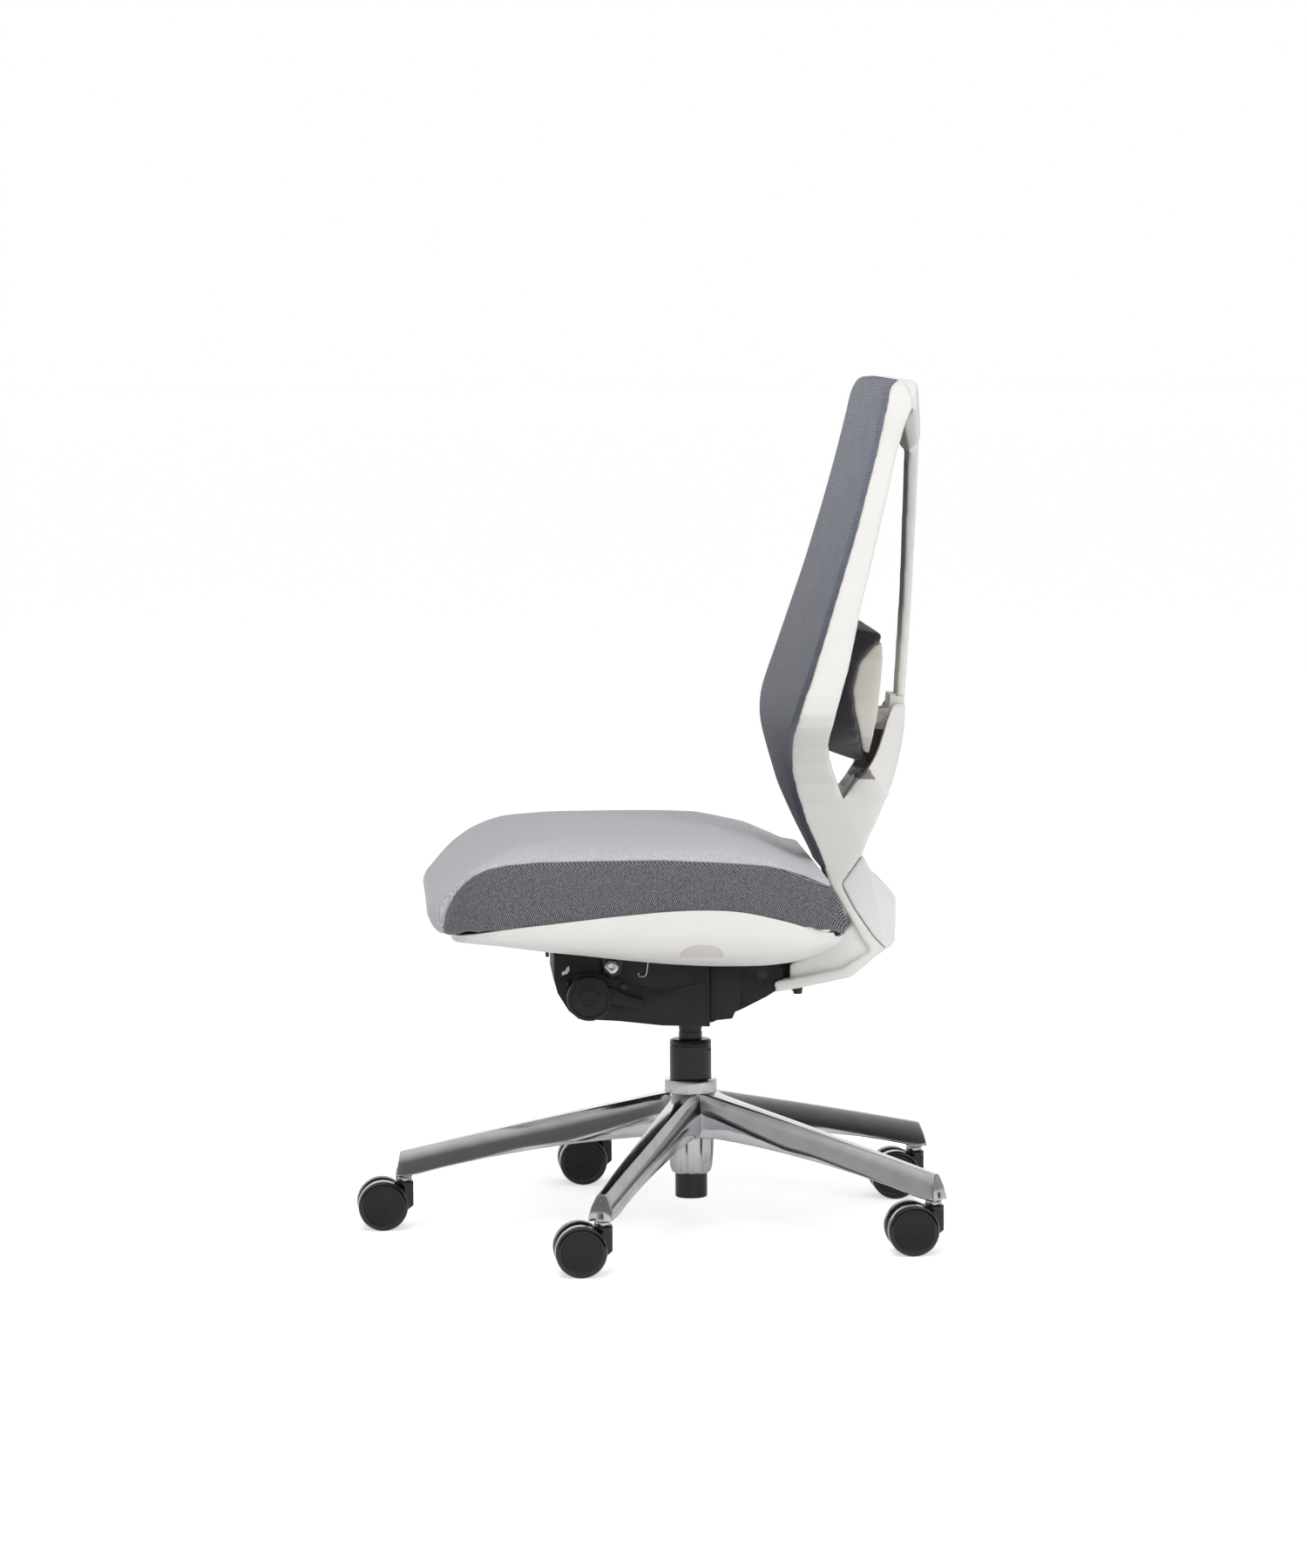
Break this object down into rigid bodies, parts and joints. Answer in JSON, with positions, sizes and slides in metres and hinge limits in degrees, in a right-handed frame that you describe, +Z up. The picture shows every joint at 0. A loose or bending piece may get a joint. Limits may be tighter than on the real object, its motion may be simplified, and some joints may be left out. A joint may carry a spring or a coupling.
{
  "type": "swivel office chair",
  "caption": "Swivel office chair with gas lift, reclining shield-shaped back, sliding upholstered seat, lumbar pad and star base on casters.",
  "frame": {"origin": "on the floor, on the axis of the gas-lift column, at the lowest seat height", "axes": "+Z up along the column, -Y the way the sitter faces, +X towards the sitter's left"},
  "size_m": [0.7163, 0.7092, 1.019],
  "materials": {
    "polished_aluminium": "mirror-polished casting",
    "black_steel": "satin black powder coat",
    "bright_steel": "bright ground steel",
    "bright_bolt": "zinc-bright socket bolt",
    "cast_black": "fine matte black on a casting",
    "black_plastic": "fine-textured moulded nylon",
    "caster_black": "glossy rim with a matte face",
    "white_plastic": "satin moulded, warm white",
    "cool_white_plastic": "satin moulded, cool white",
    "beige_plastic": "satin moulded, off-white",
    "seat_fabric": "light grey woven top, darker netted side band",
    "back_fabric": "blue-grey ribbed knit",
    "lumbar_fabric": "black woven"
  },
  "bodies": {
    "base": {"star_base": "polished_aluminium", "column_tube": "black_steel", "column_bush": "black_plastic", "thrust_bearing": "bright_steel"},
    "spindle": {"piston_rod": "bright_steel", "column_clip": "bright_steel"},
    "chassis": {"gas_cylinder": "black_steel", "mechanism_housing": "cast_black", "housing_lid": "cast_black", "housing_rear_cover": "black_plastic", "tilt_springs": "bright_steel", "spring_seat": "bright_steel", "recline_shaft": "bright_steel", "knob_flange": "black_plastic", "flange_screws": "black_steel", "wire_clip": "bright_steel"},
    "release": {"release_pin": "bright_steel"},
    "lift_lever": {"height_lever": "black_plastic"},
    "knob": {"tension_knob": "black_plastic"},
    "lock_lever": {"tilt_lock_lever": "black_plastic"},
    "carrier": {"seat_carrier": "black_steel", "tilt_bolts": "bright_bolt"},
    "seat": {"seat_pan": "black_plastic", "seat_shell": "white_plastic", "seat_cushion": "seat_fabric", "slot_covers": "beige_plastic"},
    "back": {"back_bracket": "black_steel", "back_arm": "white_plastic", "arm_bolts": "black_steel", "rear_cover": "cool_white_plastic", "back_frame": "white_plastic", "back_spine": "white_plastic", "back_cup": "white_plastic", "back_board": "black_plastic", "back_panel": "back_fabric"},
    "lumbar_slider": {"lumbar_carriage": "white_plastic"},
    "lumbar_pad": {"lumbar_pin": "bright_steel", "lumbar_shell": "beige_plastic", "lumbar_cushion": "lumbar_fabric"},
    "caster_1": {"caster_1_hood": "caster_black", "caster_1_pins": "bright_steel"},
    "wheel_1_l": {"caster_1_wheel_l": "caster_black"},
    "wheel_1_r": {"caster_1_wheel_r": "caster_black"},
    "caster_2": {"caster_2_hood": "caster_black", "caster_2_pins": "bright_steel"},
    "wheel_2_l": {"caster_2_wheel_l": "caster_black"},
    "wheel_2_r": {"caster_2_wheel_r": "caster_black"},
    "caster_3": {"caster_3_hood": "caster_black", "caster_3_pins": "bright_steel"},
    "wheel_3_l": {"caster_3_wheel_l": "caster_black"},
    "wheel_3_r": {"caster_3_wheel_r": "caster_black"},
    "caster_4": {"caster_4_hood": "caster_black", "caster_4_pins": "bright_steel"},
    "wheel_4_l": {"caster_4_wheel_l": "caster_black"},
    "wheel_4_r": {"caster_4_wheel_r": "caster_black"},
    "caster_5": {"caster_5_hood": "caster_black", "caster_5_pins": "bright_steel"},
    "wheel_5_l": {"caster_5_wheel_l": "caster_black"},
    "wheel_5_r": {"caster_5_wheel_r": "caster_black"}
  },
  "joints": [
    {"name": "seat_swivel", "type": "hinge", "parent": "base", "child": "spindle", "pos_m": [0, 0, 0.2], "axis": [0, 0, 1], "continuous": true},
    {"name": "seat_lift", "type": "slide", "parent": "spindle", "child": "chassis", "axis": [0, 0, 1], "range_m": [0, 0.1]},
    {"name": "lift_lever_pull", "type": "hinge", "parent": "chassis", "child": "lift_lever", "pos_m": [-0.04, 0, 0.327], "axis": [0, 1, 0], "range_deg": [0, 6], "stiffness_Nm_per_rad": 2, "springref_deg": -5.73},
    {"name": "valve_press", "type": "slide", "parent": "chassis", "child": "release", "axis": [0, 0, -1], "range_m": [0, 0.005]},
    {"name": "tension_turn", "type": "hinge", "parent": "chassis", "child": "knob", "pos_m": [0.1, -0.126, 0.291], "axis": [1, 0, 0], "range_deg": [0, 1080]},
    {"name": "tilt_lock", "type": "hinge", "parent": "chassis", "child": "lock_lever", "pos_m": [0.082, -0.126, 0.291], "axis": [1, 0, 0], "range_deg": [0, 25]},
    {"name": "recline", "type": "hinge", "parent": "chassis", "child": "back", "pos_m": [0, 0.085, 0.308], "axis": [-1, 0, 0], "range_deg": [0, 18], "stiffness_Nm_per_rad": 90, "springref_deg": -14.32},
    {"name": "seat_tilt", "type": "hinge", "parent": "chassis", "child": "carrier", "pos_m": [0, -0.098, 0.3245], "axis": [-1, 0, 0], "range_deg": [0, 6]},
    {"name": "seat_depth", "type": "slide", "parent": "carrier", "child": "seat", "axis": [0, -1, 0], "range_m": [0, 0.05]},
    {"name": "lumbar_height", "type": "slide", "parent": "back", "child": "lumbar_slider", "axis": [0, 0.0617, 0.9981], "range_m": [0, 0.045]},
    {"name": "lumbar_tilt", "type": "hinge", "parent": "lumbar_slider", "child": "lumbar_pad", "pos_m": [0, 0.222, 0.613], "axis": [1, 0, 0], "range_deg": [-4, 2]},
    {"name": "caster_1_swivel", "type": "hinge", "parent": "base", "child": "caster_1", "pos_m": [-0.01596, -0.34613, 0.06], "axis": [0, 0, 1], "continuous": true},
    {"name": "wheel_1_l_roll", "type": "hinge", "parent": "caster_1", "child": "wheel_1_l", "pos_m": [-0.01505, -0.37212, 0.03], "axis": [0.9994, 0.0349, 0], "continuous": true},
    {"name": "wheel_1_r_roll", "type": "hinge", "parent": "caster_1", "child": "wheel_1_r", "pos_m": [-0.01505, -0.37212, 0.03], "axis": [0.9994, 0.0349, 0], "continuous": true},
    {"name": "caster_2_swivel", "type": "hinge", "parent": "base", "child": "caster_2", "pos_m": [0.32426, -0.12214, 0.06], "axis": [0, 0, 1], "continuous": true},
    {"name": "wheel_2_l_roll", "type": "hinge", "parent": "caster_2", "child": "wheel_2_l", "pos_m": [0.32517, -0.14812, 0.03], "axis": [0.9994, 0.0349, 0], "continuous": true},
    {"name": "wheel_2_r_roll", "type": "hinge", "parent": "caster_2", "child": "wheel_2_r", "pos_m": [0.32517, -0.14812, 0.03], "axis": [0.9994, 0.0349, 0], "continuous": true},
    {"name": "caster_3_swivel", "type": "hinge", "parent": "base", "child": "caster_3", "pos_m": [0.21636, 0.27065, 0.06], "axis": [0, 0, 1], "continuous": true},
    {"name": "wheel_3_l_roll", "type": "hinge", "parent": "caster_3", "child": "wheel_3_l", "pos_m": [0.21727, 0.24466, 0.03], "axis": [0.9994, 0.0349, 0], "continuous": true},
    {"name": "wheel_3_r_roll", "type": "hinge", "parent": "caster_3", "child": "wheel_3_r", "pos_m": [0.21727, 0.24466, 0.03], "axis": [0.9994, 0.0349, 0], "continuous": true},
    {"name": "caster_4_swivel", "type": "hinge", "parent": "base", "child": "caster_4", "pos_m": [-0.19054, 0.28941, 0.06], "axis": [0, 0, 1], "continuous": true},
    {"name": "wheel_4_l_roll", "type": "hinge", "parent": "caster_4", "child": "wheel_4_l", "pos_m": [-0.18963, 0.26342, 0.03], "axis": [0.9994, 0.0349, 0], "continuous": true},
    {"name": "wheel_4_r_roll", "type": "hinge", "parent": "caster_4", "child": "wheel_4_r", "pos_m": [-0.18963, 0.26342, 0.03], "axis": [0.9994, 0.0349, 0], "continuous": true},
    {"name": "caster_5_swivel", "type": "hinge", "parent": "base", "child": "caster_5", "pos_m": [-0.33412, -0.09178, 0.06], "axis": [0, 0, 1], "continuous": true},
    {"name": "wheel_5_l_roll", "type": "hinge", "parent": "caster_5", "child": "wheel_5_l", "pos_m": [-0.33322, -0.11777, 0.03], "axis": [0.9994, 0.0349, 0], "continuous": true},
    {"name": "wheel_5_r_roll", "type": "hinge", "parent": "caster_5", "child": "wheel_5_r", "pos_m": [-0.33322, -0.11777, 0.03], "axis": [0.9994, 0.0349, 0], "continuous": true}
  ],
  "couplings": [
    {"joint": "seat_tilt", "follows": "recline", "ratio": 0.3333},
    {"joint": "valve_press", "follows": "lift_lever_pull", "m_per_rad": 0.0468}
  ]
}
